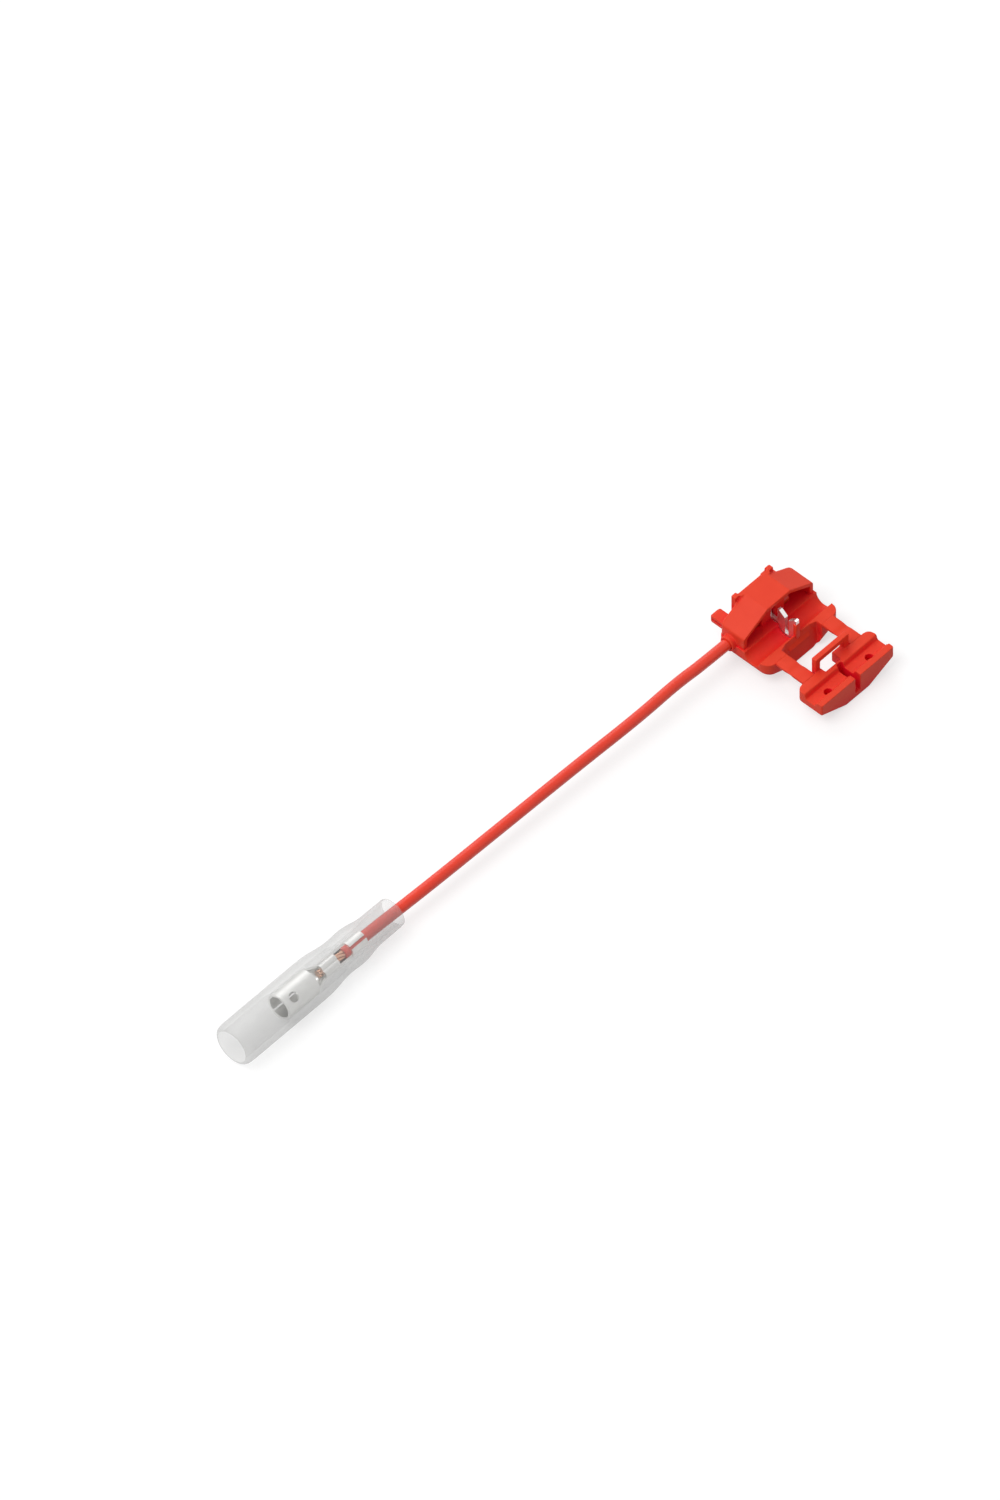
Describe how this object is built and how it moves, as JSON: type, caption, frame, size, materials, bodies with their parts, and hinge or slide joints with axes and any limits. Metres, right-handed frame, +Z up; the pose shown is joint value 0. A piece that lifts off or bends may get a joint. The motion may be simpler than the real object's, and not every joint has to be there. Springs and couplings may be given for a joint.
{
  "type": "wire tap connector lead",
  "caption": "Red moulded wire tap with a hinged open lid, fork contact and latched hood, on a short insulated lead ending in a round socket terminal inside a clear soft sleeve.",
  "frame": {"origin": "on the base leaf's flat outer facet where the part rests, midway along the base and 5.25 mm behind its front wall", "axes": "+X along the lead from the terminal to the housing's far end, -Y towards the open lid, +Z up out of the wire grooves"},
  "size_m": [0.1336, 0.0263, 0.0101],
  "materials": {
    "red_moulding": "satin moulded",
    "tinned_sheet": "tin plated",
    "lead_insulation": "soft satin",
    "bare_strands": "bright drawn",
    "clear_vinyl": "clear, slightly milky"
  },
  "bodies": {
    "housing": {"housing_base": "red_moulding", "hood": "red_moulding", "hood_strap_near": "red_moulding", "hood_strap_far": "red_moulding", "lid_strap_base_side_near": "red_moulding", "lid_strap_base_side_far": "red_moulding", "splice_contact": "tinned_sheet", "lead": "lead_insulation", "lead_strands": "bare_strands", "socket_terminal": "tinned_sheet"},
    "lid": {"lid": "red_moulding", "lid_strap_lid_side_near": "red_moulding", "lid_strap_lid_side_far": "red_moulding"},
    "sleeve": {"clear_sleeve": "clear_vinyl"}
  },
  "joints": [
    {"name": "lid_hinge", "type": "hinge", "parent": "housing", "child": "lid", "pos_m": [0, -0.00827, 0.0048], "axis": [-1, 0, 0], "range_deg": [0, 180]},
    {"name": "sleeve_slide", "type": "slide", "parent": "housing", "child": "sleeve", "axis": [1, 0, 0], "range_m": [0, 0.031]}
  ]
}
